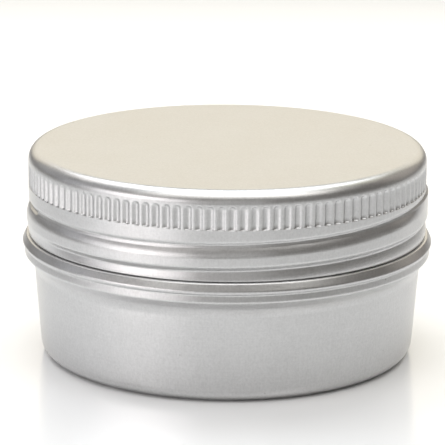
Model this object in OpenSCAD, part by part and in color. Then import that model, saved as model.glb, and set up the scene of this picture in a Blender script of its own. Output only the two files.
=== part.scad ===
// Candle tin: a drawn aluminium cup with a rolled ring and a threaded neck,
// closed by a knurled screw lid that carries a foam liner.
// Millimetres, +Z up, origin at the centre of the base.
// The thread is right-handed: the lid comes off counter-clockwise from above.

/* [Overall] */
// Height of the closed tin
tin_h = 36; // [30:0.5:60]
// Diameter of the lid over its band
lid_d = 68; // [50:0.5:90]
// Thickness of the aluminium sheet
sheet = 0.35; // [0.25:0.05:0.45]

/* [Lid] */
// Radius of the rounded shoulder
shoulder_r = 2.1; // [1.5:0.1:3]
// Plain wall between the shoulder and the knurls
knurl_gap = 0.1; // [0.1:0.1:1]
// Height of the knurls
knurl_h = 4.1; // [2:0.1:7]
// Depth of each pressed flute
knurl_depth = 0.28; // [0.15:0.01:0.35]
// Number of flutes round the lid
knurl_count = 120; // [60:2:150]
// Share of the pitch that stays as the land between two flutes
knurl_land = 0.28; // [0.2:0.02:0.5]
// Height of the plain band between the knurls and the threaded part
band_h = 0.65; // [0.5:0.05:4]
// How far the threaded part stands out beyond the band
swell = 0.3; // [0.2:0.05:0.5]
// How far the skirt below the thread stands out beyond the band
skirt_swell = 0.1; // [0:0.05:0.2]
// Height of the skirt below the thread
skirt_h = 0.8; // [0.4:0.1:2]

/* [Thread] */
// Rise of the thread in one turn
thread_pitch = 4; // [2.6:0.1:5]
// Depth of the groove that is rolled into the lid
thread_depth = 0.8; // [0.5:0.05:1]
// Width of the rolled groove and of the ridge on the neck
thread_w = 2.1; // [1.4:0.1:2.2]
// Turns of the groove on the lid
lid_turns = 1.4; // [1.2:0.1:2]
// Turns of the ridge on the neck
neck_turns = 0.8; // [0.6:0.1:1]
// Height of the start of the lid's groove above the lid's lower edge
thread_start = 1.3; // [1.2:0.05:3]
// Angle at which the lid's groove starts, from +X
thread_from = 200; // [0:5:360]
// Radial gap from the lid's thread to the neck
root_clear = 0.35; // [0.2:0.05:0.5]
// Radial gap from the neck's ridge to the lid's wall
crest_clear = 0.4; // [0.3:0.05:0.6]

/* [Cup] */
// How far the ring stands out beyond the lid's band
ring_proud = 1.1; // [0.6:0.1:2]
// Radius of the ring's rounded edge
ring_bead_r = 1.5; // [0.8:0.1:1.8]
// Gap between the lid's lower edge and the top of the ring
ring_gap = 0.3; // [0.3:0.1:2]
// How far the wall stands in from the lid's band, at its top
wall_inset = 0.95; // [0.6:0.05:2]
// How far the wall leans in from its top to its foot
wall_taper = 0.95; // [0:0.05:2]
// Height of the flare from the wall out to the middle of the ring
flare_h = 3.9; // [3:0.1:6]
// Radius of the corner between the wall and the base
corner_r = 2.4; // [1:0.1:5]
// Width of the flat foot that the tin stands on
foot_w = 2.8; // [1.5:0.1:6]
// How far the middle of the base is pressed up
panel_rise = 0.4; // [0.2:0.1:1]
// Radius of the fillet between the ring and the neck
neck_fillet = 0.5; // [0.3:0.1:0.6]
// Radius of the curl round the mouth
curl_r = 0.75; // [0.6:0.05:1.2]

/* [Liner] */
// Thickness of the foam liner
liner_t = 1; // [0.5:0.1:2]
// Gap above and below the liner
liner_play = 0.06; // [0.05:0.01:0.2]
// Gap between the liner's edge and the lid's wall
liner_side_gap = 0.2; // [0.1:0.05:1]

/* [Hidden] */
$fn = 180;

lid_r = lid_d / 2;
thread_r = lid_r + swell;
skirt_r = lid_r + skirt_swell;
knurl_wall_r = lid_r - knurl_depth;

// How far pieces of one solid reach into each other, and how far an edge stays shy of a face
lap = 0.05;
shy = 0.02;

// Heights up the lid, from its lower edge. The groove fades out over its last degrees.
step_h = 0.4;
thread_margin = 0.1;
fade_deg = 40;
deep_turns = lid_turns - fade_deg / 360;
thread_top = thread_start + deep_turns * thread_pitch + thread_w / 2 + thread_margin;
knurl_bottom = thread_top + step_h + band_h;
knurl_top = knurl_bottom + knurl_h;
lid_h = knurl_top + knurl_gap + shoulder_r;
lid_z = tin_h - lid_h;

// The neck, worked out from the lid by the thread's clearances
neck_r = thread_r - sheet - thread_depth - root_clear;
ridge_h = thread_depth + root_clear - crest_clear;
neck_lag = 50;
neck_from = thread_from + neck_lag;
rim_z = tin_h - sheet - liner_play - liner_t - liner_play;

// The ring and the flare that carries it
ring_r = lid_r + ring_proud;
ring_x = ring_r - ring_bead_r;
ring_z = lid_z - ring_gap - ring_bead_r;
wall_r = lid_r - wall_inset;
foot_r = wall_r - wall_taper;
wall_top = ring_z - flare_h;
ring_dx = ring_x - wall_r;
flare_r = (pow(flare_h, 2) + pow(ring_dx, 2) - pow(ring_bead_r, 2)) / (2 * (ring_bead_r + ring_dx));
flare_turn = atan2(flare_h, flare_r - ring_dx);
wall_lean = atan2(wall_taper, wall_top - corner_r);
foot_in = foot_r - corner_r - foot_w;
panel_slope = 1;
curl_turn = 250;

// Share of the pitch that each flank of a land takes
knurl_flank = 0.16;

// How far a helical bar is sunk where it has no height
bar_sink = 0.05;
// How far behind its wall a bar reaches: a ridge stays inside the sheet, a cutter passes out of it
neck_back = 0.12;
lid_back = 0.07;
cutter_back = 0.5;
// Degrees between two sections of a bar, and points over its bulge less one
bar_step = 6;
bar_points = 6;
// Degrees between two points on an arc
arc_step = 8;

// Points on an arc about [cx, cz], from angle a to angle b
function arc(cx, cz, r, a, b) =
    let (n = ceil(abs(b - a) / arc_step))
    [for (i = [0 : n]) let (t = a + (b - a) * i / n) [cx + r * cos(t), cz + r * sin(t)]];

// Unit vector to the right of the way from p to q
function to_right(p, q) = let (d = q - p) [d[1], -d[0]] / norm(d);

// The path moved to its right by t, with its corners mitred
function moved(path, t) =
    let (last = len(path) - 1)
    [for (i = [0 : last])
        let (before = to_right(path[max(i - 1, 0)], path[max(i, 1)]))
        let (after = to_right(path[min(i, last - 1)], path[min(i + 1, last)]))
        let (both = before + after)
        path[i] + both * (2 * t / (both * both))];

function backwards(list) = [for (i = [len(list) - 1 : -1 : 0]) list[i]];

// 0 to 1 and back to 0 along a sweep, with smooth ends
function fade(angle, sweep) =
    let (x = min(1, min(angle, sweep - angle) / fade_deg))
    x * x * (3 - 2 * x);

// One section of a helical bar, as [radius, height] points.
// way is 1 when the bar bulges outward and -1 when it bulges inward.
function bar_section(wall, way, rise, height, back) =
    let (half = thread_w / 2)
    concat(
        [for (k = [0 : bar_points])
            let (u = way * (2 * k / bar_points - 1))
            [wall + way * ((rise + bar_sink) * (1 + cos(180 * u)) / 2 - bar_sink), height + half * u]],
        [[wall - way * back, height + way * half], [wall - way * back, height - way * half]]);

// Triangles of a sweep of n + 1 sections of m points each
function sweep_faces(n, m) = concat(
    [backwards([for (j = [0 : m - 1]) j])],
    [[for (j = [0 : m - 1]) n * m + j]],
    [for (i = [0 : n - 1], j = [0 : m - 1])
        let (k = (j + 1) % m)
        each [[i * m + j, i * m + k, (i + 1) * m + k], [i * m + j, (i + 1) * m + k, (i + 1) * m + j]]]);

// A bar that climbs the thread, from angle a for some turns, fading out at both ends
module helical_bar(wall, way, rise, back, z, a, turns) {
    sweep = turns * 360;
    n = round(sweep / bar_step);
    m = bar_points + 3;
    points = [for (i = [0 : n])
        let (t = sweep * i / n)
        let (tall = (rise + bar_sink) * fade(t, sweep) - bar_sink)
        for (p = bar_section(wall, way, tall, z + thread_pitch * t / 360, back))
            [p[0] * cos(a + t), p[0] * sin(a + t), p[1]]];
    polyhedron(points, sweep_faces(n, m));
}

// A sheet of metal spun round the axis, on the right of its path when t is above 0
module spun_sheet(path, t) {
    rotate_extrude()
        polygon(concat(path, backwards(moved(path, t))));
}

// Ring of lands between the flutes, standing on the recessed wall behind it
module knurl_lands() {
    step = 360 / knurl_count;
    land = step * knurl_land / 2;
    flank = step * knurl_flank;
    land_r = lid_r - shy;
    flute_r = knurl_wall_r - lap;
    outline = [for (i = [0 : knurl_count - 1])
        for (corner = [[-land - flank, flute_r], [-land, land_r], [land, land_r], [land + flank, flute_r]])
            corner[1] * [cos(i * step + corner[0]), sin(i * step + corner[0])]];
    translate([0, 0, lid_z + knurl_bottom - lap])
        linear_extrude(knurl_h + lap + knurl_gap / 2)
            difference() {
                polygon(outline);
                circle(r = knurl_wall_r - sheet / 2);
            }
}

// The outside of the lid, from the middle of its top to its lower edge
function lid_path() = concat(
    [[0, tin_h]],
    arc(lid_r - shoulder_r, tin_h - shoulder_r, shoulder_r, 90, 0),
    [[lid_r, lid_z + knurl_top + knurl_gap / 2], [knurl_wall_r, lid_z + knurl_top]],
    [[knurl_wall_r, lid_z + knurl_bottom], [lid_r, lid_z + knurl_bottom - knurl_gap]],
    [[lid_r, lid_z + thread_top + step_h], [thread_r, lid_z + thread_top]],
    [[thread_r, lid_z + skirt_h + step_h / 2], [skirt_r, lid_z + skirt_h], [skirt_r, lid_z]]);

// The outside of the cup, from the middle of its base to the end of its curl
function cup_path() = concat(
    [[0, panel_rise], [foot_in - panel_slope, panel_rise], [foot_in, 0]],
    arc(foot_r - corner_r * cos(wall_lean), corner_r, corner_r, -90, -wall_lean),
    arc(wall_r + flare_r, wall_top, flare_r, 180, 180 - flare_turn),
    arc(ring_x, ring_z, ring_bead_r, arc_step - flare_turn, 90),
    arc(neck_r + neck_fillet, ring_z + ring_bead_r + neck_fillet, neck_fillet, 270, 180),
    arc(neck_r - curl_r, rim_z - curl_r, curl_r, 0, curl_turn));

module tin_body() {
    neck_z = lid_z + thread_start + thread_pitch * (neck_from - thread_from) / 360 + thread_pitch / 2;
    color("silver")
        difference() {
            union() {
                spun_sheet(cup_path(), -sheet);
                helical_bar(neck_r, 1, ridge_h, neck_back, neck_z, neck_from, neck_turns);
            }
            helical_bar(neck_r - sheet, 1, ridge_h, cutter_back, neck_z, neck_from, neck_turns);
        }
}

module screw_lid() {
    groove_z = lid_z + thread_start;
    color("gainsboro")
        difference() {
            union() {
                spun_sheet(lid_path(), sheet);
                knurl_lands();
                helical_bar(thread_r - sheet, -1, thread_depth, lid_back, groove_z, thread_from, lid_turns);
            }
            helical_bar(thread_r, -1, thread_depth, cutter_back, groove_z, thread_from, lid_turns);
        }
}

module foam_liner() {
    top = tin_h - sheet - liner_play;
    edge = knurl_wall_r - sheet - liner_side_gap;
    round_r = shoulder_r - sheet - liner_play;
    round_x = lid_r - shoulder_r;
    edge_turn = acos((edge - round_x) / round_r);
    color("white")
        rotate_extrude()
            polygon(concat(
                [[0, top - liner_t], [edge, top - liner_t]],
                arc(round_x, tin_h - shoulder_r, round_r, edge_turn, 90),
                [[0, top]]));
}

tin_body();
screw_lid();
foam_liner();
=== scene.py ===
"""The looks of the candle tin: a drawn aluminium cup, a knurled screw lid and its foam liner.

Lengths are in millimetres until a mesh, a node socket or a light is made, which take metres.
The rows of a spun piece run with the air on their left.
"""

import logging
import math
from dataclasses import dataclass
from enum import Enum
from typing import Any, Mapping, Optional, Sequence, Union

import bpy
import numpy as np
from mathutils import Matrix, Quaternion, Vector


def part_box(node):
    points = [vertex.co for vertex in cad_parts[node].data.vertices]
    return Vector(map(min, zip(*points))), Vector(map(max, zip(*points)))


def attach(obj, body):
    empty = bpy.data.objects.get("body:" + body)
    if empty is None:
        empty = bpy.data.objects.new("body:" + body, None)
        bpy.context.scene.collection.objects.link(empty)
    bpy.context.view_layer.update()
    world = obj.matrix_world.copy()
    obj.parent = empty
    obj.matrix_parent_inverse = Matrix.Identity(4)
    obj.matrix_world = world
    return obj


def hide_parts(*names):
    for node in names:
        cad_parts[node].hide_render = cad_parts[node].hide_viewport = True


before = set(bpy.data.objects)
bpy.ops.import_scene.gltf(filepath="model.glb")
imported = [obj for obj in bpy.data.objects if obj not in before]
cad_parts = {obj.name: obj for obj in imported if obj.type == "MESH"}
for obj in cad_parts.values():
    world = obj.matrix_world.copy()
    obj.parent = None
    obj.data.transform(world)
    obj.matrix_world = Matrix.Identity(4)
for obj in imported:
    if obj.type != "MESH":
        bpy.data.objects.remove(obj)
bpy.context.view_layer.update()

LOG = logging.getLogger("candle_tin")
MM = 0.001
TAU = 2 * math.pi
PRESS_ATTRIBUTE = "press"
SHEET = 0.35
THREAD_PITCH = 4.0
THREAD_UP = 0.9
THREAD_FROM = 200.0

Point = tuple[float, float]
Profile = list[Point]
Colour = tuple[float, float, float]
Term = Union["Field", float]


class Body(Enum):
    """The moving bodies of the frame."""

    TIN = "tin"
    LINER = "liner"
    LID = "lid"


class Slot(Enum):
    """The record's material slots."""

    CUP = "cup_metal"
    LID = "lid_metal"
    LINER = "liner_foam"


class Press(Enum):
    """Inputs of the press tool. Lengths are in metres and angles in radians."""

    FLUTES = "Flutes"
    FLUTE_DEPTH = "Flute Depth"
    FLUTE_LAND = "Flute Land Share"
    FLUTE_TOP = "Flute Top"
    FLUTE_TOP_END = "Flute Top End"
    FLUTE_BOTTOM = "Flute Bottom"
    FLUTE_BOTTOM_END = "Flute Bottom End"
    THREAD_DEPTH = "Thread Depth"
    THREAD_ABOVE = "Thread Width Above"
    THREAD_BELOW = "Thread Width Below"
    THREAD_PITCH = "Thread Pitch"
    THREAD_START = "Thread Start"
    THREAD_FROM = "Thread From"
    THREAD_SWEEP = "Thread Sweep"
    THREAD_FADE = "Thread Fade"
    RUN_OUT = "Run Out"
    RUN_OUT_SWEEP = "Run Out Sweep"
    SWELL = "Swell"
    SWELL_LINE = "Swell Line"
    SWELL_STEP = "Swell Step"
    LEVEL_LIFT = "Level Lift"
    LEVEL_SWEEP = "Level Sweep"
    FLANK_POWER = "Flank Power"
    FLANK_HOLLOW = "Flank Hollow"


# ---- node trees


class Field:
    """One node socket that takes part in sums as a number does."""

    def __init__(self, graph: "Graph", socket: bpy.types.NodeSocket) -> None:
        """Wraps a socket of the graph."""
        self.graph = graph
        self.socket = socket

    def __add__(self, other: Term) -> "Field":
        """The sum."""
        return self.graph.math("ADD", self, other)

    def __radd__(self, other: Term) -> "Field":
        """The sum with a number on the left."""
        return self.graph.math("ADD", other, self)

    def __sub__(self, other: Term) -> "Field":
        """The difference."""
        return self.graph.math("SUBTRACT", self, other)

    def __rsub__(self, other: Term) -> "Field":
        """The difference from a number on the left."""
        return self.graph.math("SUBTRACT", other, self)

    def __mul__(self, other: Term) -> "Field":
        """The product."""
        return self.graph.math("MULTIPLY", self, other)

    def __rmul__(self, other: Term) -> "Field":
        """The product with a number on the left."""
        return self.graph.math("MULTIPLY", other, self)

    def __truediv__(self, other: Term) -> "Field":
        """The quotient."""
        return self.graph.math("DIVIDE", self, other)

    def __rtruediv__(self, other: Term) -> "Field":
        """The quotient of a number on the left."""
        return self.graph.math("DIVIDE", other, self)

    def __pow__(self, other: Term) -> "Field":
        """The power."""
        return self.graph.math("POWER", self, other)

    def __neg__(self) -> "Field":
        """The value with its sign changed."""
        return self.graph.math("MULTIPLY", self, -1.0)


class Graph:
    """A node tree that is written as expressions."""

    def __init__(self, tree: bpy.types.NodeTree) -> None:
        """Empties the tree and takes it over."""
        self.tree = tree
        tree.nodes.clear()

    def node(
        self,
        kind: str,
        settings: Optional[Mapping[str, Any]] = None,
        inputs: Optional[Mapping[Union[str, int], Any]] = None,
    ) -> bpy.types.Node:
        """Adds a node.

        Args:
            kind: the node's type.
            settings: its properties, set first.
            inputs: values or fields of its sockets, by name or by number.

        Returns:
            The node.
        """
        made = self.tree.nodes.new(kind)
        for name, value in (settings or {}).items():
            setattr(made, name, value)
        for key, value in (inputs or {}).items():
            self._feed(made.inputs[key], value)
        return made

    def _feed(self, socket: bpy.types.NodeSocket, value: Any) -> None:
        """Links a field to a socket, or sets the socket's own value.

        Args:
            socket: the socket.
            value: a field, number, colour, vector, name or material.
        """
        if isinstance(value, Field):
            self.tree.links.new(value.socket, socket)
        elif socket.type == "RGBA" and len(value) == 3:
            socket.default_value = (*value, 1.0)
        else:
            socket.default_value = value

    def out(self, node: bpy.types.Node, key: Union[str, int] = 0) -> Field:
        """A node's output as a field."""
        return Field(self, node.outputs[key])

    def math(self, operation: str, *terms: Term) -> Field:
        """The result of a Math node."""
        return self.out(self.node("ShaderNodeMath", {"operation": operation}, dict(enumerate(terms))))

    def low(self, *terms: Term) -> Field:
        """The smaller of two values."""
        return self.math("MINIMUM", *terms)

    def high(self, *terms: Term) -> Field:
        """The larger of two values."""
        return self.math("MAXIMUM", *terms)

    def step(self, value: Term, start: Term, end: Term) -> Field:
        """A smooth step of a value.

        Args:
            value: what is measured.
            start: where the step leaves 0.
            end: where it reaches 1.

        Returns:
            The step, from 0 to 1.
        """
        settings = {"interpolation_type": "SMOOTHSTEP", "clamp": True}
        inputs = {"Value": value, "From Min": start, "From Max": end, "To Min": 0.0, "To Max": 1.0}
        return self.out(self.node("ShaderNodeMapRange", settings, inputs))

    def mix(self, factor: Term, first: Any, second: Any) -> Field:
        """Mixes two colours.

        Args:
            factor: the share of the second colour.
            first: a colour or a field.
            second: a colour or a field.

        Returns:
            The mixed colour.
        """
        settings = {"data_type": "RGBA", "blend_type": "MIX", "clamp_factor": True}
        return self.out(self.node("ShaderNodeMix", settings, {0: factor, 6: first, 7: second}), 2)

    def scaled(self, vector: Field, scale: tuple[float, float, float]) -> Field:
        """A vector stretched along the axes."""
        settings = {"operation": "MULTIPLY"}
        return self.out(self.node("ShaderNodeVectorMath", settings, {0: vector, 1: scale}))

    def noise(self, place: Field, layer: "Layer") -> Field:
        """Noise about 0.5.

        Args:
            place: the place in metres.
            layer: its grains and how rough they are.

        Returns:
            The noise.
        """
        vector = self.scaled(place, layer.scale)
        inputs = {"Vector": vector, "Scale": 1.0, "Detail": layer.detail, "Roughness": layer.mix}
        return self.out(self.node("ShaderNodeTexNoise", {"noise_dimensions": "3D"}, inputs), "Fac")


# ---- finishes


@dataclass(frozen=True)
class Layer:
    """One layer of noise, and its weights in a finish.

    The scale is in grains to a metre along each axis. The detail is the number of finer layers on
    top, and the mix is their strength.
    """

    scale: tuple[float, float, float]
    detail: float = 2.0
    mix: float = 0.5
    shade: float = 0.0
    rough: float = 0.0
    height: float = 0.0


def surface_graph(name: str) -> tuple[bpy.types.Material, Graph]:
    """A new material and the graph of its tree."""
    material = bpy.data.materials.new(name)
    material.use_nodes = True
    return material, Graph(material.node_tree)


def layered(
    graph: Graph, place: Field, layers: Sequence[Layer], shade: float, rough: float
) -> tuple[Field, Field, Field]:
    """Adds up layers of noise.

    Args:
        graph: the graph.
        place: the place in metres.
        layers: the layers.
        shade: the shade without them.
        rough: the roughness without them.

    Returns:
        The shade, the roughness and the height.
    """
    sums: list[Term] = [shade, rough, 0.0]
    for layer in layers:
        noise = graph.noise(place, layer) - 0.5
        weights = (layer.shade, layer.rough, layer.height)
        sums = [total + noise * weight if weight else total for total, weight in zip(sums, weights)]
    return sums[0], sums[1], sums[2]


def shaded(colour: Colour, share: float) -> Colour:
    """A colour made darker or lighter by a share."""
    return tuple(min(1.0, share * part) for part in colour)


def finish_surface(graph: Graph, shader: bpy.types.Node) -> None:
    """Sends a shader to the material's output."""
    graph.node("ShaderNodeOutputMaterial", inputs={"Surface": graph.out(shader)})


@dataclass(frozen=True)
class DrawnAluminium:
    """Bare aluminium sheet with the satin grain of drawing and rolling, and painted shade in its valleys."""

    name: str
    colour: Colour = (0.585, 0.585, 0.585)
    darkest: float = 0.90
    lightest: float = 1.06
    roughness: float = 0.32
    bump: float = 0.6
    bump_height: float = 0.000024
    grain: Layer = Layer((2700, 2700, 2300), 3.0, 0.65, shade=2.2, rough=0.10, height=0.7)
    rings: Layer = Layer((70, 70, 6800), 2.0, 0.55, shade=0.6, rough=0.05, height=0.5)
    draws: Layer = Layer((4300, 4300, 110), 2.0, 0.55, shade=0.6, rough=0.05, height=0.5)
    mottle: Layer = Layer((260, 260, 260), shade=0.5, rough=0.06, height=0.8)
    smudge: Layer = Layer((75, 75, 75), 3.0, 0.6, shade=0.35, rough=0.05)
    specks: Layer = Layer((900, 900, 900), 1.0)
    speck_edge: tuple[float, float] = (0.80, 0.86)
    speck_colour: Colour = (0.25, 0.24, 0.23)
    speck_share: float = 0.5
    speck_depth: float = 1.5
    # painted shade: the pressed valleys are darkened towards this grey, by this share
    valley_shade_colour: Colour = (0.55, 0.55, 0.56)
    valley_shade_share: float = 0.12
    valley_rough: float = 0.03
    crest_polish: float = 0.05

    def material(self) -> bpy.types.Material:
        """Builds the finish.

        Returns:
            The material.
        """
        material, graph = surface_graph(self.name)
        place = graph.out(graph.node("ShaderNodeTexCoord"), "Object")
        layers = (self.grain, self.rings, self.draws, self.mottle, self.smudge)
        shade, rough, height = layered(graph, place, layers, 0.5, self.roughness)
        speck = graph.step(graph.noise(place, self.specks), *self.speck_edge)
        press = graph.out(graph.node("ShaderNodeAttribute", {"attribute_name": PRESS_ATTRIBUTE}), "Fac")
        valley = graph.high(press, 0.0)
        crest = graph.high(-press, 0.0)

        tone = graph.mix(shade, shaded(self.colour, self.darkest), shaded(self.colour, self.lightest))
        # painted shade: the pressed flutes and the thread groove are darkened towards a grey
        tone = graph.mix(valley * self.valley_shade_share, tone, self.valley_shade_colour)
        tone = graph.mix(speck * self.speck_share, tone, self.speck_colour)
        rough = rough + valley * self.valley_rough - crest * self.crest_polish
        height = height - speck * self.speck_depth
        bump = graph.node(
            "ShaderNodeBump",
            inputs={"Strength": self.bump, "Distance": self.bump_height, "Height": height},
        )
        shader = graph.node(
            "ShaderNodeBsdfPrincipled",
            inputs={"Base Color": tone, "Metallic": 1.0, "Roughness": rough, "Normal": graph.out(bump)},
        )
        finish_surface(graph, shader)
        return material


@dataclass(frozen=True)
class ClosedCellFoam:
    """White closed-cell foam with fine cells and a slight yellow cast."""

    name: str
    colour: Colour = (0.86, 0.86, 0.84)
    shadow: Colour = (0.74, 0.73, 0.70)
    roughness: float = 0.62
    bump: float = 0.5
    bump_height: float = 0.00004
    soak: float = 0.15
    soak_depth: tuple[float, float, float] = (MM, MM, MM)
    cell_scale: tuple[float, float, float] = (3200, 3200, 3200)
    cell_shade: float = 0.4
    shadow_share: float = 0.35
    fine: Layer = Layer((5200, 5200, 5200), mix=0.6, rough=0.08, height=0.5)
    broad: Layer = Layer((120, 120, 120), shade=0.8, rough=0.1)

    def material(self) -> bpy.types.Material:
        """Builds the finish.

        Returns:
            The material.
        """
        material, graph = surface_graph(self.name)
        place = graph.out(graph.node("ShaderNodeTexCoord"), "Object")
        cells = graph.out(
            graph.node(
                "ShaderNodeTexVoronoi",
                {"feature": "F1"},
                {"Vector": graph.scaled(place, self.cell_scale), "Scale": 1.0},
            ),
            "Distance",
        )
        layers = (self.fine, self.broad)
        shade, rough, height = layered(graph, place, layers, self.shadow_share, self.roughness)
        tone = graph.mix(shade - cells * self.cell_shade, self.colour, self.shadow)
        height = height + cells
        bump = graph.node(
            "ShaderNodeBump",
            inputs={"Strength": self.bump, "Distance": self.bump_height, "Height": height},
        )
        shader = graph.node(
            "ShaderNodeBsdfPrincipled",
            inputs={
                "Base Color": tone,
                "Roughness": rough,
                "Normal": graph.out(bump),
                "Subsurface Weight": self.soak,
                "Subsurface Radius": self.soak_depth,
            },
        )
        finish_surface(graph, shader)
        return material


@dataclass(frozen=True)
class PaleTable:
    """The smooth white table top that the tin stands on."""

    name: str
    colour: Colour = (0.905, 0.91, 0.92)
    darkest: float = 0.985
    roughness: float = 0.10
    gloss: float = 0.8
    mottle: Layer = Layer((30, 30, 30), 3.0, rough=0.05)

    def material(self) -> bpy.types.Material:
        """Builds the finish.

        Returns:
            The material.
        """
        material, graph = surface_graph(self.name)
        place = graph.out(graph.node("ShaderNodeTexCoord"), "Object")
        mottle = graph.noise(place, self.mottle)
        tone = graph.mix(mottle, self.colour, shaded(self.colour, self.darkest))
        rough = self.roughness + mottle * self.mottle.rough
        shader = graph.node(
            "ShaderNodeBsdfPrincipled",
            inputs={"Base Color": tone, "Roughness": rough, "Specular IOR Level": self.gloss},
        )
        finish_surface(graph, shader)
        return material


# ---- profiles and spinning


@dataclass(frozen=True)
class Row:
    """One ring of points of a spun piece. A row of one column is a pole."""

    radius: float
    height: float
    columns: int


def line(start: Point, end: Point, steps: int) -> Profile:
    """Points on a straight run, both ends included.

    Args:
        start: where it starts.
        end: where it ends.
        steps: the number of steps.

    Returns:
        The points.
    """
    return [
        (start[0] + (end[0] - start[0]) * i / steps, start[1] + (end[1] - start[1]) * i / steps)
        for i in range(steps + 1)
    ]


def ease(start: Point, end: Point, steps: int) -> Profile:
    """Points on a smooth step between two flats, both ends included.

    Args:
        start: where it starts.
        end: where it ends.
        steps: the number of steps.

    Returns:
        The points.
    """
    points = []
    for i in range(steps + 1):
        even = i / steps
        soft = even * even * (3 - 2 * even)
        points.append((start[0] + (end[0] - start[0]) * even, start[1] + (end[1] - start[1]) * soft))
    return points


def arc(centre: Point, radius: float, start: float, end: float, steps: int) -> Profile:
    """Points on an arc, both ends included.

    Args:
        centre: its centre.
        radius: its radius.
        start: the first angle in degrees.
        end: the last angle in degrees.
        steps: the number of steps.

    Returns:
        The points.
    """
    points = []
    for i in range(steps + 1):
        turn = math.radians(start + (end - start) * i / steps)
        points.append((centre[0] + radius * math.cos(turn), centre[1] + radius * math.sin(turn)))
    return points


def joined(*runs: Profile) -> Profile:
    """One profile of several runs, with the points that meet taken once."""
    points: Profile = []
    for run in runs:
        for point in run:
            if not points or math.dist(points[-1], point) > 1e-6:
                points.append(point)
    return points


def moved(profile: Profile, distance: float) -> Profile:
    """The profile moved to its right, with its corners mitred.

    Args:
        profile: the points.
        distance: how far it moves.

    Returns:
        The moved points, one for each.
    """
    points = np.array(profile)
    ways = np.diff(points, axis=0)
    ways /= np.linalg.norm(ways, axis=1)[:, None]
    normals = np.stack([ways[:, 1], -ways[:, 0]], axis=1)
    both = np.vstack([normals[:1] * 2, normals[:-1] + normals[1:], normals[-1:] * 2])
    shifted = points + both * (2 * distance / (both**2).sum(axis=1))[:, None]
    return [(float(r), float(z)) for r, z in shifted]


def edge_round(start: Point, end: Point, steps: int) -> Profile:
    """The half circle round the cut edge of a sheet, without its two ends.

    Args:
        start: the last point of one face.
        end: the first point of the other face.
        steps: the number of steps.

    Returns:
        The points between them, bulging to the left of the way from start to end.
    """
    centre = ((start[0] + end[0]) / 2, (start[1] + end[1]) / 2)
    radius = math.dist(start, end) / 2
    first = math.degrees(math.atan2(start[1] - centre[1], start[0] - centre[0]))
    return arc(centre, radius, first, first - 180, steps)[1:-1]


def bridge(first: Row, second: Row, a: int, b: int) -> list[tuple[int, ...]]:
    """Faces between two rows, whose columns divide each other.

    Args:
        first: the row nearer the start.
        second: the row after it.
        a: the number of the first row's first vertex.
        b: the number of the second row's first vertex.

    Returns:
        The faces, with the air on the left of the way from first to second.
    """
    n, m = first.columns, second.columns
    if n == 1:
        return [(a, b + j, b + (j + 1) % m) for j in range(m)]
    if m == 1:
        return [(a + j, b, a + (j + 1) % n) for j in range(n)]
    if n == m:
        return [(a + j, b + j, b + (j + 1) % n, a + (j + 1) % n) for j in range(n)]
    faces: list[tuple[int, ...]] = []
    share = max(n, m) // min(n, m)
    half = share // 2
    for j in range(min(n, m)):
        near, far = j, (j + 1) % min(n, m)
        for k in range(share):
            fine = j * share + k
            after = (fine + 1) % max(n, m)
            coarse = near if k < half else far
            if m > n:
                if k == half:
                    faces.append((a + near, b + fine, a + far))
                faces.append((a + coarse, b + fine, b + after))
            else:
                if k == half:
                    faces.append((a + fine, b + near, b + far))
                faces.append((a + fine, b + coarse, a + after))
    return faces


def spun(name: str, rows: Sequence[Row]) -> bpy.types.Object:
    """Spins rows round the axis into a closed piece.

    Args:
        name: the piece's name.
        rows: from one pole to the other, with the air on their left.

    Returns:
        The piece, at the origin and smooth.
    """
    points: list[np.ndarray] = []
    firsts: list[int] = []
    count = 0
    for row in rows:
        turns = np.arange(row.columns) * TAU / row.columns
        height = np.full(row.columns, row.height)
        points.append(np.stack([row.radius * np.cos(turns), row.radius * np.sin(turns), height], axis=1))
        firsts.append(count)
        count += row.columns
    faces: list[tuple[int, ...]] = []
    for i in range(len(rows) - 1):
        faces += bridge(rows[i], rows[i + 1], firsts[i], firsts[i + 1])
    mesh = bpy.data.meshes.new(name)
    mesh.from_pydata((np.vstack(points) * MM).tolist(), [], faces)
    mesh.polygons.foreach_set("use_smooth", [True] * len(mesh.polygons))
    mesh.update()
    piece = bpy.data.objects.new(name, mesh)
    bpy.context.scene.collection.objects.link(piece)
    return piece


def rows_of(profile: Profile, columns: int, fine: Sequence[tuple[float, float, int]] = ()) -> list[Row]:
    """Rows of a profile.

    Args:
        profile: its points, where a radius of 0 is a pole.
        columns: the columns of each row.
        fine: bands of (lowest height, highest height, columns) that have more.

    Returns:
        The rows.
    """
    rows = []
    for radius, height in profile:
        count = columns
        for low, high, more in fine:
            if low <= height <= high:
                count = more
        rows.append(Row(radius, height, 1 if radius == 0 else count))
    return rows


# ---- the press tool


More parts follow.
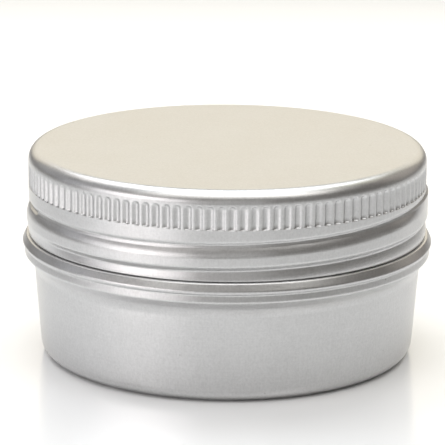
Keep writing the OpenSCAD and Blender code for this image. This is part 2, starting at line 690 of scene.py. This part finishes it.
class PressTool:
    """Knurling and thread rolling: a node tree that presses a spun wall along its radius."""

    MOST_TURNS = 2
    HOLLOW_SWEEP = 1.5

    def __init__(self) -> None:
        """Builds the node group."""
        self.group = bpy.data.node_groups.new("press_tool", "GeometryNodeTree")
        face = self.group.interface
        face.new_socket("Geometry", in_out="OUTPUT", socket_type="NodeSocketGeometry")
        face.new_socket("Geometry", in_out="INPUT", socket_type="NodeSocketGeometry")
        for press in Press:
            face.new_socket(press.value, in_out="INPUT", socket_type="NodeSocketFloat")
        face.new_socket("Finish", in_out="INPUT", socket_type="NodeSocketMaterial")
        self.graph = Graph(self.group)
        self.inputs = self.graph.node("NodeGroupInput")
        self._build()

    def _size(self, press: Press) -> Field:
        """A named input as a field."""
        return self.graph.out(self.inputs, press.value)

    def _flutes(self, angle: Field, height: Field) -> Field:
        """How deep the flutes are pressed.

        Args:
            angle: the angle round the axis.
            height: the height.

        Returns:
            The share of the flutes' depth.
        """
        graph = self.graph
        turn = graph.math("FRACT", angle * self._size(Press.FLUTES) / TAU)
        across = graph.math("ABSOLUTE", turn - 0.5) / ((1 - self._size(Press.FLUTE_LAND)) / 2)
        top, top_end = self._size(Press.FLUTE_TOP), self._size(Press.FLUTE_TOP_END)
        bottom, bottom_end = self._size(Press.FLUTE_BOTTOM), self._size(Press.FLUTE_BOTTOM_END)
        above = graph.high(height - (top - top_end), 0.0) / top_end
        below = graph.high(bottom + bottom_end - height, 0.0) / bottom_end
        return graph.high(1 - across * across - above * above - below * below, 0.0)

    def _climb(self, travel: Field) -> Field:
        """The rise of the thread along its way.

        Args:
            travel: the angle travelled from its start.

        Returns:
            The rise, which grows faster where the thread runs out.
        """
        graph = self.graph
        sweep, run = self._size(Press.THREAD_SWEEP), self._size(Press.RUN_OUT_SWEEP)
        late = graph.low(graph.high((travel - sweep + run) / run, 0.0), 1.0)
        way = graph.math("FLOORED_MODULO", travel, TAU)
        level = self._size(Press.LEVEL_SWEEP)
        lift = 1 - graph.step(way, 0.0, level) + graph.step(way, TAU - 2 * level, TAU)
        climb = self._size(Press.THREAD_PITCH) * travel / TAU + self._size(Press.RUN_OUT) * late * late
        return climb + lift * self._size(Press.LEVEL_LIFT)

    def _thread(self, travel: Field, height: Field) -> Field:
        """How far the thread is rolled.

        Args:
            travel: the angle from the thread's start, less than one turn.
            height: the height.

        Returns:
            The share of the thread's depth.
        """
        graph = self.graph
        sweep, fade = self._size(Press.THREAD_SWEEP), self._size(Press.THREAD_FADE)
        rolled: Optional[Field] = None
        for turn in range(self.MOST_TURNS):
            way = travel + TAU * turn
            middle = self._size(Press.THREAD_START) + self._climb(way)
            above = (height - middle) / self._size(Press.THREAD_ABOVE)
            below = (middle - height) / self._size(Press.THREAD_BELOW)
            upper = (1 + graph.math("COSINE", graph.low(graph.high(above, 0.0), 1.0) * math.pi)) / 2
            hollow = graph.step(way, TAU - self.HOLLOW_SWEEP, TAU) * self._size(Press.FLANK_HOLLOW)
            lower = (1 - graph.low(graph.high(below, 0.0), 1.0)) ** (self._size(Press.FLANK_POWER) + hollow)
            one = upper * lower * graph.step(graph.low(way, sweep - way), 0.0, fade)
            rolled = one if rolled is None else rolled + one
        return rolled

    def _swell(self, travel: Field, height: Field) -> Field:
        """How far the threaded part of the wall is swelled.

        Args:
            travel: the angle from the thread's start, less than one turn.
            height: the height.

        Returns:
            The share of the swell, from a line that follows the upper turn.
        """
        graph = self.graph
        last = self._size(Press.THREAD_SWEEP) - TAU
        rise = self._climb(graph.low(travel, last) + TAU)
        base = self._size(Press.THREAD_PITCH)
        back = graph.step(travel, last, TAU)
        middle = self._size(Press.SWELL_LINE) + (rise - base) * (1 - back)
        half = self._size(Press.SWELL_STEP) / 2
        return graph.step(height, middle + half, middle - half)

    def _build(self) -> None:
        """Writes the tree, from the wall as it comes to the pressed and dressed wall."""
        graph = self.graph
        position = graph.out(graph.node("GeometryNodeInputPosition"))
        split = graph.node("ShaderNodeSeparateXYZ", inputs={0: position})
        x, y, z = (graph.out(split, i) for i in range(3))
        radius = graph.math("SQRT", x * x + y * y)
        angle = graph.math("ARCTAN2", y, x)
        travel = graph.math("FLOORED_MODULO", angle - self._size(Press.THREAD_FROM), TAU)
        flutes = self._flutes(angle, z)
        thread = self._thread(travel, z)
        depth = self._size(Press.THREAD_DEPTH)
        inward = flutes * self._size(Press.FLUTE_DEPTH) + thread * depth
        inward = inward - self._swell(travel, z) * self._size(Press.SWELL)
        scale = (radius - inward) / radius
        place = graph.node("ShaderNodeCombineXYZ", inputs={0: x * scale, 1: y * scale, 2: z})
        pressed = graph.node(
            "GeometryNodeSetPosition",
            inputs={"Geometry": graph.out(self.inputs, "Geometry"), "Position": graph.out(place)},
        )
        # the press share marks the valleys, which the finish darkens as painted shade, and the crests that
        # it polishes
        marked = graph.node(
            "GeometryNodeStoreNamedAttribute",
            {"data_type": "FLOAT", "domain": "POINT"},
            {
                "Geometry": graph.out(pressed),
                "Name": PRESS_ATTRIBUTE,
                "Value": flutes + thread * graph.math("SIGN", depth),
            },
        )
        real = graph.node("GeometryNodeRealizeInstances", inputs={"Geometry": graph.out(marked)})
        dressed = graph.node(
            "GeometryNodeSetMaterial",
            inputs={"Geometry": graph.out(real), "Material": graph.out(self.inputs, "Finish")},
        )
        graph.node("NodeGroupOutput", inputs={"Geometry": graph.out(dressed)})

    def press(
        self,
        piece: bpy.types.Object,
        sizes: Mapping[Press, float],
        finish: bpy.types.Material,
    ) -> None:
        """Presses a piece and leaves it a plain mesh.

        Args:
            piece: the spun piece.
            sizes: values of the tool's inputs; those left out keep a harmless value.
            finish: the material that the piece gets.
        """
        modifier = piece.modifiers.new("press", "NODES")
        modifier.node_group = self.group
        harmless = {
            Press.FLUTE_TOP_END: MM,
            Press.FLUTE_BOTTOM_END: MM,
            Press.THREAD_ABOVE: MM,
            Press.THREAD_BELOW: MM,
            Press.THREAD_SWEEP: TAU,
            Press.THREAD_FADE: 1.0,
            Press.RUN_OUT_SWEEP: 1.0,
            Press.SWELL_STEP: MM,
            Press.LEVEL_SWEEP: 1.0,
            Press.FLANK_POWER: 2.0,
        }
        values = {press.value: float(sizes.get(press, harmless.get(press, 0.0))) for press in Press}
        for item in self.group.interface.items_tree:
            if item.in_out == "INPUT" and item.name in values:
                modifier[item.identifier] = values[item.name]
            elif item.in_out == "INPUT" and item.name == "Finish":
                modifier[item.identifier] = finish
        depsgraph = bpy.context.evaluated_depsgraph_get()
        mesh = bpy.data.meshes.new_from_object(piece.evaluated_get(depsgraph))
        piece.modifiers.clear()
        spare = piece.data
        piece.data = mesh
        bpy.data.meshes.remove(spare)
        mesh.name = piece.name


@dataclass(frozen=True)
class Thread:
    """A right-handed rolled thread. Heights are in millimetres and angles in degrees."""

    start: float
    start_angle: float
    turns: float
    depth: float
    pitch: float = THREAD_PITCH
    above: float = 1.05
    below: float = 1.05
    fade: float = 40.0

    def sizes(self) -> dict[Press, float]:
        """The press tool's inputs for this thread."""
        return {
            Press.THREAD_DEPTH: self.depth * MM,
            Press.THREAD_ABOVE: self.above * MM,
            Press.THREAD_BELOW: self.below * MM,
            Press.THREAD_PITCH: self.pitch * MM,
            Press.THREAD_START: self.start * MM,
            Press.THREAD_FROM: math.radians(self.start_angle),
            Press.THREAD_SWEEP: TAU * self.turns,
            Press.THREAD_FADE: math.radians(self.fade),
        }


def node_size(node: str) -> tuple[float, float, float]:
    """A node's radius, lowest height and highest height in millimetres."""
    low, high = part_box(node)
    return high.x / MM, low.z / MM, high.z / MM


def report(piece: bpy.types.Object) -> None:
    """Logs a finished piece."""
    LOG.info("%s: %d vertices, %d faces", piece.name, len(piece.data.vertices), len(piece.data.polygons))


# ---- the lid


@dataclass
class ScrewLid:
    """The knurled lid, with a thread rolled into its wall."""

    finish: DrawnAluminium
    sheet: float = SHEET
    band_r: float = 34.0
    skirt_inset: float = 0.36
    skirt_h: float = 1.0
    shoulder_r: float = 2.1
    shoulder_h: float = 2.35
    crown: float = 0.08
    flutes: int = 120
    flute_depth: float = 0.38
    flute_land: float = 0.28
    flute_h: float = 4.05
    flute_gap: float = 0.1
    flute_top_end: float = 0.64
    flute_bottom_end: float = 0.18
    swell: float = 0.36
    swell_step: float = 0.4
    swell_line: float = 5.2
    run_out: float = 0.9
    run_out_sweep: float = 75.0
    level_lift: float = 0.5
    level_sweep: float = 50.0
    flank_power: float = 1.3
    flank_hollow: float = 0.4
    thread_turns: float = 1.42
    thread_fade: float = 25.0
    thread_depth: float = 0.6
    thread_above: float = 1.0
    thread_below: float = 1.75
    columns: int = 480
    flute_columns: int = 12
    flute_margin: float = 0.06
    fine_margin: float = 0.07
    plain_gap: float = 0.08
    foot_h: float = 1.4
    wall_row: float = 0.17
    top_rows: tuple[float, ...] = (0, 6, 12, 17, 21, 24.5, 27, 29, 30.3, 31.2)

    def __post_init__(self) -> None:
        """Reads the lid's place from the frame."""
        _, self.low, self.top = node_size("screw_lid")
        self.shoulder_z = self.top - self.shoulder_h
        self.flute_top = self.shoulder_z - self.flute_gap
        self.flute_bottom = self.flute_top - self.flute_h

    def _top(self) -> Profile:
        """The crowned top and the shoulder, from the middle to the wall."""
        flat_r = self.band_r - self.shoulder_r
        rise = self.shoulder_h - self.crown
        top = [(r, self.top - self.crown * (r / flat_r) ** 3) for r in self.top_rows]
        shoulder = arc((0, 0), 1.0, 90, 0, 18)
        return joined(top, [(flat_r + self.shoulder_r * a, self.shoulder_z + rise * b) for a, b in shoulder])

    def _wall(self) -> Profile:
        """The wall from the shoulder down to the lower edge, as it is before pressing."""
        margin = self.flute_margin
        top_end, bottom_end = self.flute_top_end + margin, self.flute_bottom_end + margin
        high, low = self.flute_top + margin, self.flute_bottom - margin
        flute = joined(
            line((self.band_r, high), (self.band_r, high - top_end), 8),
            line((self.band_r, high - top_end), (self.band_r, low + bottom_end), 5),
            line((self.band_r, low + bottom_end), (self.band_r, low), 7),
        )
        bend = self.low + self.skirt_h + self.foot_h
        steps = round((low - bend) / self.wall_row)
        plain = line((self.band_r, low - self.plain_gap), (self.band_r, bend), steps)
        foot_r = self.band_r - self.skirt_inset
        foot = line((self.band_r, bend), (foot_r, self.low + self.sheet / 2), 14)
        return joined(flute, plain, foot)

    def _rows(self) -> list[Row]:
        """The rows of the whole shell, from the middle of the top round to the middle of the ceiling."""
        outside = joined(self._top(), self._wall())
        inside = moved(outside, self.sheet)[::-1]
        rounding = edge_round(outside[-1], inside[0], 6)
        high, low = self.flute_top + self.fine_margin, self.flute_bottom - self.fine_margin
        fine = self.flutes * self.flute_columns
        rows = rows_of(outside, self.columns, [(low, high, fine)])
        rows += rows_of(rounding, self.columns)
        inner = [(0.0 if i == len(inside) - 1 else r, z) for i, (r, z) in enumerate(inside)]
        last = len(inner) - 1
        thin = [p for i, p in enumerate(inner) if i == last or i % 2 == 0]
        return rows + rows_of(thin, self.columns // 2, [(low, high, fine // 2)])

    def thread(self) -> Thread:
        """The thread rolled into the wall."""
        return Thread(
            self.low + THREAD_UP,
            THREAD_FROM,
            self.thread_turns,
            self.thread_depth,
            above=self.thread_above,
            below=self.thread_below,
            fade=self.thread_fade,
        )

    def build(self, tool: PressTool) -> bpy.types.Object:
        """Spins the lid and presses its flutes and thread.

        Args:
            tool: the press tool.

        Returns:
            The dressed piece.
        """
        piece = spun("lid_shell", self._rows())
        sizes = self.thread().sizes() | {
            Press.FLUTES: float(self.flutes),
            Press.FLUTE_DEPTH: self.flute_depth * MM,
            Press.FLUTE_LAND: self.flute_land,
            Press.FLUTE_TOP: self.flute_top * MM,
            Press.FLUTE_TOP_END: self.flute_top_end * MM,
            Press.FLUTE_BOTTOM: self.flute_bottom * MM,
            Press.FLUTE_BOTTOM_END: self.flute_bottom_end * MM,
            Press.RUN_OUT: self.run_out * MM,
            Press.RUN_OUT_SWEEP: math.radians(self.run_out_sweep),
            Press.SWELL: self.swell * MM,
            Press.SWELL_LINE: (self.low + self.swell_line) * MM,
            Press.SWELL_STEP: self.swell_step * MM,
            Press.LEVEL_LIFT: self.level_lift * MM,
            Press.LEVEL_SWEEP: math.radians(self.level_sweep),
            Press.FLANK_POWER: self.flank_power,
            Press.FLANK_HOLLOW: self.flank_hollow,
        }
        tool.press(piece, sizes, self.finish.material())
        return self.dress(piece)

    def dress(self, piece: bpy.types.Object) -> bpy.types.Object:
        """Puts the piece on its body and hides the imported part it replaces."""
        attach(piece, Body.LID.value)
        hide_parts("screw_lid")
        return piece


# ---- the cup


@dataclass
class Cup:
    """The drawn cup: foot, wall, flare, rolled ring, threaded neck and curled mouth."""

    finish: DrawnAluminium
    sheet: float = SHEET
    ring_down: float = 1.42
    ring_gap: float = 0.03
    cone_slope: float = 28.0
    cone_round: float = 0.4
    bead_r: float = 0.55
    bead_turn: float = 75.0
    belt_in: tuple[float, float] = (0.44, 0.30)
    belt_down: tuple[float, float] = (0.62, 1.62)
    belt_r: float = 0.5
    flare_slope: float = 42.0
    flare_reach: float = 1.3
    wall_r: float = 33.05
    wall_taper: float = 0.95
    corner_r: float = 2.4
    foot_w: float = 2.8
    panel_slope: float = 1.0
    panel_rise: float = 0.4
    neck_r: float = 32.8
    neck_fillet: float = 0.5
    curl_r: float = 0.75
    curl_turn: float = 250.0
    ridge_h: float = 0.75
    ridge_lag: float = 50.0
    ridge_turns: float = 0.8
    ridge_margin: float = 0.2
    neck_row: float = 0.2
    inner_detail: float = 2.0
    panel_rows: tuple[float, ...] = (0.0, 8.0, 16.0, 22.0)
    columns: int = 480

    def __post_init__(self) -> None:
        """Reads the cup's place from the frame and works out where its arcs meet."""
        self.ring_r, self.foot_z, self.rim = node_size("tin_body")
        self.lid_low = node_size("screw_lid")[1]
        self.ring_z = self.lid_low - self.ring_down
        self.ring_top = self.lid_low - self.ring_gap
        slope = math.radians(self.flare_slope)
        self.belt = [(self.ring_r - x, self.ring_z - z) for x, z in zip(self.belt_in, self.belt_down)]
        (in_r, in_z), (out_r, out_z) = self.belt
        self.belt_lean = math.degrees(math.atan2(out_r - in_r, in_z - out_z))
        lean = math.radians(self.belt_lean)
        self.belt_centre = (out_r - self.belt_r * math.cos(lean), out_z - self.belt_r * math.sin(lean))
        foot_r = self.belt_centre[0] + self.belt_r * math.cos(slope)
        foot_z = self.belt_centre[1] - self.belt_r * math.sin(slope)
        self.wall_top = foot_z - (foot_r - self.wall_r) / math.tan(slope) - self.flare_reach
        self.lean = math.degrees(math.atan2(self.wall_taper, self.wall_top - self.corner_r))
        self.flare_r = self.flare_reach / math.tan(slope / 2)

    def _base(self) -> Profile:
        """The raised panel, the foot and the corner, from the middle outwards."""
        foot_r = self.wall_r - self.wall_taper
        foot_in = foot_r - self.corner_r - self.foot_w
        panel = foot_in - self.panel_slope
        corner = (foot_r - self.corner_r * math.cos(math.radians(self.lean)), self.corner_r)
        return joined(
            [(r, self.panel_rise) for r in self.panel_rows],
            ease((panel, self.panel_rise), (foot_in, 0.0), 6),
            line((foot_in, 0.0), (corner[0], 0.0), 3),
            arc(corner, self.corner_r, -90, -self.lean, 14),
        )

    def _side(self) -> Profile:
        """The wall, the flare and the ring, from the corner up to the neck."""
        base = self._base()[-1]
        neck_foot = (self.neck_r + self.neck_fillet, self.ring_top + self.neck_fillet)
        bead = (self.ring_r - self.bead_r, self.ring_z)
        slope = math.radians(self.cone_slope)
        round_z = self.ring_top - self.cone_round
        rise = (round_z - bead[1]) * math.sin(slope)
        round_x = bead[0] + (self.bead_r - self.cone_round - rise) / math.cos(slope)
        hollow = (self.wall_r + self.flare_r, self.wall_top)
        flare = arc(hollow, self.flare_r, 180, 180 - self.flare_slope, 12)
        bulge = arc(self.belt_centre, self.belt_r, -self.flare_slope, self.belt_lean, 8)
        lip = arc(bead, self.bead_r, -self.bead_turn, self.cone_slope, 14)
        cone = arc((round_x, round_z), self.cone_round, self.cone_slope, 90, 7)
        return joined(
            line(base, (self.wall_r, self.wall_top), 8),
            flare,
            line(flare[-1], bulge[0], 6),
            bulge,
            line(bulge[-1], self.belt[0], 5),
            lip,
            line(lip[-1], cone[0], 6),
            cone,
            arc(neck_foot, self.neck_fillet, 270, 180, 5),
        )

    def _neck(self) -> Profile:
        """The neck and the curl, from the fillet up and over into the mouth."""
        start = self.ring_top + self.neck_fillet
        thread = self.thread()
        low = thread.start - thread.below - self.ridge_margin
        high = thread.start + thread.pitch * thread.turns + thread.above + self.ridge_margin
        end = self.rim - self.curl_r
        return joined(
            line((self.neck_r, start), (self.neck_r, low), 3),
            line((self.neck_r, low), (self.neck_r, high), round((high - low) / self.neck_row)),
            line((self.neck_r, high), (self.neck_r, end), 6),
            arc((self.neck_r - self.curl_r, end), self.curl_r, 0, self.curl_turn, 22),
        )

    def thread(self) -> Thread:
        """The ridge rolled out of the neck, half a pitch above the lid's groove."""
        start = self.lid_low + THREAD_UP + THREAD_PITCH * (self.ridge_lag / 360 + 0.5)
        return Thread(start, THREAD_FROM + self.ridge_lag, self.ridge_turns, -self.ridge_h)

    def _rows(self) -> list[Row]:
        """The rows of the whole shell, from the middle of the inside round to the middle of the base."""
        outside = joined(self._base(), self._side(), self._neck())
        inside = moved(outside, -self.sheet)
        inside[0] = (0.0, inside[0][1])
        rounding = edge_round(inside[-1], outside[-1], 5)
        last = len(inside) - 1
        curl = self.rim - self.inner_detail
        thin = [p for i, p in enumerate(inside) if i in (0, last) or i % 2 == 0 or p[1] > curl]
        rows = rows_of(thin, self.columns // 2)
        return rows + rows_of(rounding, self.columns // 2) + rows_of(outside[::-1], self.columns)

    def build(self, tool: PressTool) -> bpy.types.Object:
        """Spins the cup and rolls the ridge on its neck.

        Args:
            tool: the press tool.

        Returns:
            The dressed piece.
        """
        piece = spun("cup_shell", self._rows())
        tool.press(piece, self.thread().sizes(), self.finish.material())
        return self.dress(piece)

    def dress(self, piece: bpy.types.Object) -> bpy.types.Object:
        """Puts the piece on its body and hides the imported part it replaces."""
        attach(piece, Body.TIN.value)
        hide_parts("tin_body")
        return piece


# ---- the liner


@dataclass
class FoamLiner:
    """The foam disc in the lid, with the ring that the rim has pressed into it."""

    finish: ClosedCellFoam
    band_r: float = 34.0
    shoulder_in: float = 2.1
    play: float = 0.55
    rim_r: float = 32.05
    mark_w: float = 1.5
    mark_depth: float = 0.16
    mark_row: float = 0.12
    flat_row: float = 3.5
    edge_r: float = 0.12
    top_rows: tuple[float, ...] = (0.0, 10.0, 20.0, 28.0)
    columns: int = 240

    def __post_init__(self) -> None:
        """Reads the liner's place from the frame."""
        self.radius, self.low, self.high = node_size("foam_liner")
        self.lid_top = node_size("screw_lid")[2]

    def _under(self) -> Profile:
        """The lower face from the middle out, with the pressed ring."""
        points: Profile = [(0.0, self.low)]
        flat = np.arange(5, 30, self.flat_row)
        mark = np.arange(30.6, self.radius - self.edge_r, self.mark_row)
        for r in np.concatenate([flat, mark]):
            share = min(1.0, abs(r - self.rim_r) / (self.mark_w / 2))
            points.append((float(r), self.low + self.mark_depth * (1 + math.cos(math.pi * share)) / 2))
        return points

    def _rows(self) -> list[Row]:
        """The rows of the disc, from the middle of its top to the middle of its underside."""
        round_x = self.band_r - self.shoulder_in
        round_r = self.shoulder_in - self.play
        turn = math.degrees(math.acos((self.radius - round_x) / round_r))
        top = joined(
            [(r, self.high) for r in self.top_rows],
            arc((round_x, self.lid_top - self.shoulder_in), round_r, 90, turn, 8),
        )
        corner = arc((self.radius - self.edge_r, self.low + self.edge_r), self.edge_r, 0, -90, 4)
        return rows_of(joined(top, corner, self._under()[::-1]), self.columns)

    def build(self) -> bpy.types.Object:
        """Spins the disc.

        Returns:
            The dressed piece.
        """
        piece = spun("liner_disc", self._rows())
        piece.data.materials.append(self.finish.material())
        return self.dress(piece)

    def dress(self, piece: bpy.types.Object) -> bpy.types.Object:
        """Puts the piece on its body and hides the imported part it replaces."""
        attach(piece, Body.LINER.value)
        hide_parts("foam_liner")
        return piece


# ---- the studio


@dataclass(frozen=True)
class Softbox:
    """One flat soft light. Places and sizes are in metres."""

    name: str
    place: Colour
    aim: Colour
    width: float
    depth: float
    radiance: float
    colour: Colour = (1.0, 1.0, 1.0)

    def build(self) -> None:
        """Hangs the light."""
        lamp = bpy.data.lights.new(self.name, "AREA")
        lamp.shape = "RECTANGLE"
        lamp.size = self.width
        lamp.size_y = self.depth
        lamp.energy = 4.0 * self.radiance * self.width * self.depth
        lamp.color = self.colour
        hung = bpy.data.objects.new(self.name, lamp)
        hung.location = self.place
        hung.rotation_mode = "QUATERNION"
        hung.rotation_quaternion = (Vector(self.aim) - Vector(self.place)).to_track_quat("-Z", "Y")
        hung.visible_camera = False
        bpy.context.scene.collection.objects.link(hung)


@dataclass
class Studio:
    """The pale table, the soft lights, the room round them and the camera."""

    table: PaleTable
    half_table: float = 3.0
    elevation: float = 15.2
    distance: float = 0.45
    middle_z: float = 0.018
    lens: float = 211.0
    aim: Colour = (-0.0008, 0.001, 0.0218)
    roll: float = 0.4
    room: Colour = (0.19, 0.178, 0.166)
    backdrop: Colour = (0.95, 0.95, 0.95)

    def _floor(self) -> None:
        """Lays the table top."""
        reach = self.half_table
        mesh = bpy.data.meshes.new("table_top")
        corners = [(-reach, -reach, 0), (reach, -reach, 0), (reach, reach, 0), (-reach, reach, 0)]
        mesh.from_pydata(corners, [], [(0, 1, 2, 3)])
        mesh.materials.append(self.table.material())
        top = bpy.data.objects.new("table_top", mesh)
        bpy.context.scene.collection.objects.link(top)

    def _lights(self) -> None:
        """Hangs the lights."""
        tin = (0.0, 0.0, self.middle_z)
        for box in (
            Softbox("overhead", (0.00, 0.00, 1.02), tin, 1.00, 1.00, 1.30, (0.95, 0.98, 1.00)),
            Softbox("back_high", (0.00, 0.50, 0.88), tin, 1.10, 0.50, 1.40, (0.89, 0.95, 1.00)),
            Softbox("back_low", (0.00, 0.94, 0.36), tin, 1.30, 0.50, 0.88, (1.00, 0.92, 0.75)),
            Softbox("back_left_high", (-0.43, 0.38, 0.84), tin, 0.60, 0.60, 1.17, (1.00, 0.97, 0.95)),
            Softbox("back_right_high", (0.43, 0.38, 0.84), tin, 0.60, 0.60, 0.55, (1.00, 0.96, 0.77)),
            Softbox("left_high", (-0.67, 0.00, 0.76), tin, 0.55, 0.50, 0.27, (0.91, 0.94, 1.00)),
            Softbox("left_low", (-0.95, 0.12, 0.31), tin, 0.32, 0.45, 0.37, (0.87, 0.91, 1.00)),
            Softbox("window_left", (-0.94, -0.29, 0.23), tin, 0.36, 0.34, 1.30, (0.98, 0.97, 1.00)),
            Softbox("window_middle", (-0.78, -0.59, 0.23), tin, 0.36, 0.34, 2.45, (1.00, 0.96, 0.96)),
            Softbox("window_right", (-0.53, -0.82, 0.23), tin, 0.36, 0.34, 1.70, (1.00, 0.97, 0.98)),
            Softbox("front_low", (0.08, -0.96, 0.28), tin, 0.60, 0.35, 0.38, (1.00, 1.00, 1.00)),
            Softbox("right_front_high", (0.53, -0.31, 0.81), tin, 0.60, 0.40, 0.50, (1.00, 0.98, 0.91)),
            Softbox("back_right_low", (0.77, 0.54, 0.36), tin, 0.50, 0.50, 0.28, (1.00, 0.90, 0.80)),
            Softbox("back_left_low", (-0.75, 0.57, 0.36), tin, 0.45, 0.50, 0.24, (0.93, 0.96, 1.00)),
            Softbox("front_zenith", (0.04, -0.47, 0.90), tin, 1.70, 0.50, 1.15, (1.00, 0.98, 0.95)),
        ):
            box.build()

    def _room(self) -> None:
        """Fills the rest of the room, pale where the camera looks straight at it."""
        world = bpy.data.worlds.new("room")
        world.use_nodes = True
        graph = Graph(world.node_tree)
        seen = graph.out(graph.node("ShaderNodeLightPath"), "Is Camera Ray")
        tone = graph.mix(seen, self.room, self.backdrop)
        light = graph.node("ShaderNodeBackground", inputs={"Color": tone, "Strength": 1.0})
        graph.node("ShaderNodeOutputWorld", inputs={"Surface": graph.out(light)})
        bpy.context.scene.world = world

    def _camera(self) -> None:
        """Sets up the camera."""
        turn = math.radians(self.elevation)
        back = Vector((0.0, -math.cos(turn), math.sin(turn)))
        place = Vector((0.0, 0.0, self.middle_z)) + back * self.distance
        camera = bpy.data.objects.new("camera", bpy.data.cameras.new("camera"))
        camera.data.lens = self.lens
        camera.data.clip_start = 0.01
        camera.location = place
        camera.rotation_mode = "QUATERNION"
        look = (Vector(self.aim) - place).to_track_quat("-Z", "Y")
        camera.rotation_quaternion = look @ Quaternion((0.0, 0.0, 1.0), math.radians(self.roll))
        bpy.context.scene.collection.objects.link(camera)
        bpy.context.scene.camera = camera

    def build(self) -> None:
        """Sets up the whole studio."""
        self._floor()
        self._lights()
        self._room()
        self._camera()
        bpy.context.scene.view_settings.view_transform = "Standard"


def main() -> None:
    """Builds the tin, piece by piece, and the studio round it."""
    logging.basicConfig(level=logging.INFO, format="%(name)s: %(message)s")
    Studio(PaleTable("pale_table")).build()
    tool = PressTool()
    report(Cup(DrawnAluminium("cup_aluminium")).build(tool))
    report(ScrewLid(DrawnAluminium("lid_aluminium")).build(tool))
    report(FoamLiner(ClosedCellFoam("liner_foam")).build())


if __name__ == "__main__":
    main()
